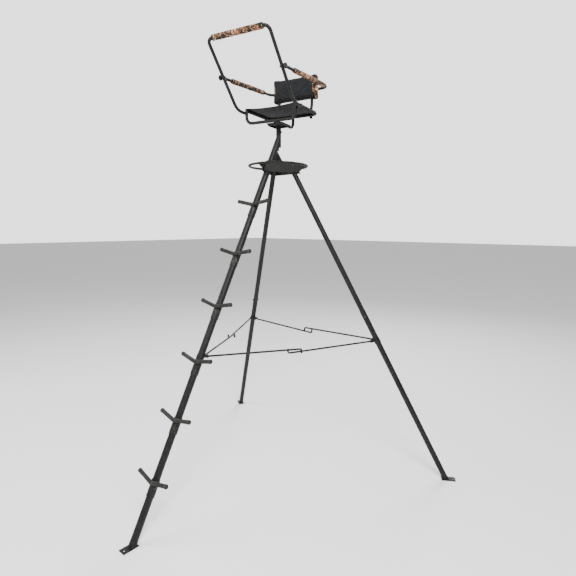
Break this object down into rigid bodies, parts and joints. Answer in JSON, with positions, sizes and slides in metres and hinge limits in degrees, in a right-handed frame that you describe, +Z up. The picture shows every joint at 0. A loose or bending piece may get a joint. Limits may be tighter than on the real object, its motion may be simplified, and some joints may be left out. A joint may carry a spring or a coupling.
{
  "type": "tripod hunting stand",
  "caption": "Tall three-legged hunting stand: a ladder leg with cross steps, folding rear legs and braces, a foot ring, and a swivel seat with armrests and a padded shooting rail.",
  "frame": {"origin": "on the ground at the centre of the footprint's bounding box", "axes": "+Z up; the ladder leg runs down towards -Y, the rear legs towards +X and -X with +Y behind"},
  "size_m": [2.8224, 2.4444, 3.6559],
  "materials": {
    "powder_coat_black": "matte black powder coat",
    "blackened_steel": "black-oxide hardware",
    "black_plastic": "moulded, matte",
    "black_fabric": "woven nylon",
    "camo_fabric": "autumn camouflage cloth over foam"
  },
  "bodies": {
    "seat": {"armrest_clip_left": "powder_coat_black", "armrest_clip_right": "powder_coat_black", "backrest_pad": "black_fabric", "backrest_post_left": "powder_coat_black", "backrest_post_right": "powder_coat_black", "front_hoop": "powder_coat_black", "rail_bolt_left": "blackened_steel", "rail_bolt_right": "blackened_steel", "seat_frame": "powder_coat_black", "seat_keel": "powder_coat_black", "seat_sling": "black_fabric", "swivel_plate": "powder_coat_black", "swivel_spindle": "blackened_steel"},
    "armrests": {"armrest_frame": "powder_coat_black", "armrest_pad_left": "camo_fabric", "armrest_pad_right": "camo_fabric"},
    "knob_left": {"armrest_knob_left": "black_plastic"},
    "knob_right": {"armrest_knob_right": "black_plastic"},
    "stand": {"back_strut": "powder_coat_black", "brace_bracket_a": "powder_coat_black", "foot_plate_a": "powder_coat_black", "foot_ring": "powder_coat_black", "hub_plate_b": "powder_coat_black", "hub_plate_c": "powder_coat_black", "hub_plate_rear": "powder_coat_black", "ladder_lower": "powder_coat_black", "ladder_middle": "powder_coat_black", "ladder_step_1": "powder_coat_black", "ladder_step_2": "powder_coat_black", "ladder_step_3": "powder_coat_black", "ladder_step_4": "powder_coat_black", "ladder_step_5": "powder_coat_black", "ladder_step_6": "powder_coat_black", "ladder_upper": "powder_coat_black", "leg_b_pivot_bolt": "blackened_steel", "leg_c_pivot_bolt": "blackened_steel", "ring_gusset": "powder_coat_black", "seat_post": "powder_coat_black", "swivel_bearing": "black_plastic", "swivel_set_pin": "blackened_steel"},
    "brace_a_to_b_rod": {"brace_a_to_b": "powder_coat_black"},
    "brace_a_to_c_rod": {"brace_a_to_c": "powder_coat_black"},
    "brace_b_to_a_rod": {"brace_b_to_a": "powder_coat_black"},
    "brace_b_to_c_rod": {"brace_b_to_c": "powder_coat_black"},
    "leg_b": {"brace_bracket_b": "powder_coat_black", "foot_plate_b": "powder_coat_black", "leg_b_joint_bolt": "blackened_steel", "leg_b_lower": "powder_coat_black", "leg_b_upper": "powder_coat_black"},
    "leg_c": {"brace_bracket_c": "powder_coat_black", "foot_plate_c": "powder_coat_black", "leg_c_joint_bolt": "blackened_steel", "leg_c_lower": "powder_coat_black", "leg_c_upper": "powder_coat_black"},
    "brace_c_to_a_rod": {"brace_c_to_a": "powder_coat_black"},
    "brace_c_to_b_rod": {"brace_c_to_b": "powder_coat_black"},
    "shooting_rail": {"rail_pad": "camo_fabric", "shooting_rail": "powder_coat_black"}
  },
  "joints": [
    {"name": "seat_swivel", "type": "hinge", "parent": "stand", "child": "seat", "pos_m": [0, 0.39434, 3.096], "axis": [0, 0, 1], "continuous": true},
    {"name": "rail_flip", "type": "hinge", "parent": "seat", "child": "shooting_rail", "pos_m": [0.02699, 0.26513, 3.198], "axis": [0.9789, 0.2045, 0], "range_deg": [0, 80]},
    {"name": "armrest_lift", "type": "hinge", "parent": "seat", "child": "armrests", "pos_m": [-0.07894, 0.77218, 3.462], "axis": [-0.9789, -0.2045, 0], "range_deg": [0, 80]},
    {"name": "knob_left_turn", "type": "hinge", "parent": "shooting_rail", "child": "knob_left", "pos_m": [-0.1808, -0.06739, 3.41034], "axis": [0.9789, 0.2045, 0], "continuous": true},
    {"name": "knob_right_turn", "type": "hinge", "parent": "shooting_rail", "child": "knob_right", "pos_m": [0.35053, 0.04361, 3.41034], "axis": [0.9789, 0.2045, 0], "continuous": true},
    {"name": "leg_b_fold", "type": "hinge", "parent": "stand", "child": "leg_b", "pos_m": [-0.10011, 0.44614, 2.735], "axis": [-0.8385, -0.4841, 0.2501], "range_deg": [0, 37]},
    {"name": "leg_c_fold", "type": "hinge", "parent": "stand", "child": "leg_c", "pos_m": [0.10011, 0.44614, 2.735], "axis": [-0.8385, 0.4841, -0.2501], "range_deg": [0, 37]},
    {"name": "brace_a_to_b_fold", "type": "hinge", "parent": "stand", "child": "brace_a_to_b_rod", "pos_m": [-0.025, -0.46093, 1.231], "axis": [0.8385, 0.4841, -0.2501], "range_deg": [0, 57]},
    {"name": "brace_a_to_c_fold", "type": "hinge", "parent": "stand", "child": "brace_a_to_c_rod", "pos_m": [0.025, -0.46093, 1.231], "axis": [0.8385, -0.4841, 0.2501], "range_deg": [0, 57]},
    {"name": "brace_b_to_a_fold", "type": "hinge", "parent": "leg_b", "child": "brace_b_to_a_rod", "pos_m": [-0.74798, 0.79132, 1.231], "axis": [-0.8385, -0.4841, 0.2501], "range_deg": [0, 57]},
    {"name": "brace_c_to_a_fold", "type": "hinge", "parent": "leg_c", "child": "brace_c_to_a_rod", "pos_m": [0.74798, 0.79132, 1.231], "axis": [-0.8385, 0.4841, -0.2501], "range_deg": [0, 57]},
    {"name": "brace_b_to_c_fold", "type": "hinge", "parent": "leg_b", "child": "brace_b_to_c_rod", "pos_m": [-0.72298, 0.83462, 1.231], "axis": [0, -0.9682, -0.2501], "range_deg": [0, 57]},
    {"name": "brace_c_to_b_fold", "type": "hinge", "parent": "leg_c", "child": "brace_c_to_b_rod", "pos_m": [0.72298, 0.83462, 1.231], "axis": [0, 0.9682, 0.2501], "range_deg": [0, 57]}
  ],
  "couplings": [
    {"joint": "leg_c_fold", "follows": "leg_b_fold", "ratio": 1},
    {"joint": "brace_a_to_b_fold", "follows": "leg_b_fold", "ratio": 1.535},
    {"joint": "brace_a_to_c_fold", "follows": "leg_b_fold", "ratio": 1.535},
    {"joint": "brace_b_to_a_fold", "follows": "leg_b_fold", "ratio": 1.535},
    {"joint": "brace_c_to_a_fold", "follows": "leg_b_fold", "ratio": 1.535},
    {"joint": "brace_b_to_c_fold", "follows": "leg_b_fold", "ratio": 1.535},
    {"joint": "brace_c_to_b_fold", "follows": "leg_b_fold", "ratio": 1.535}
  ]
}
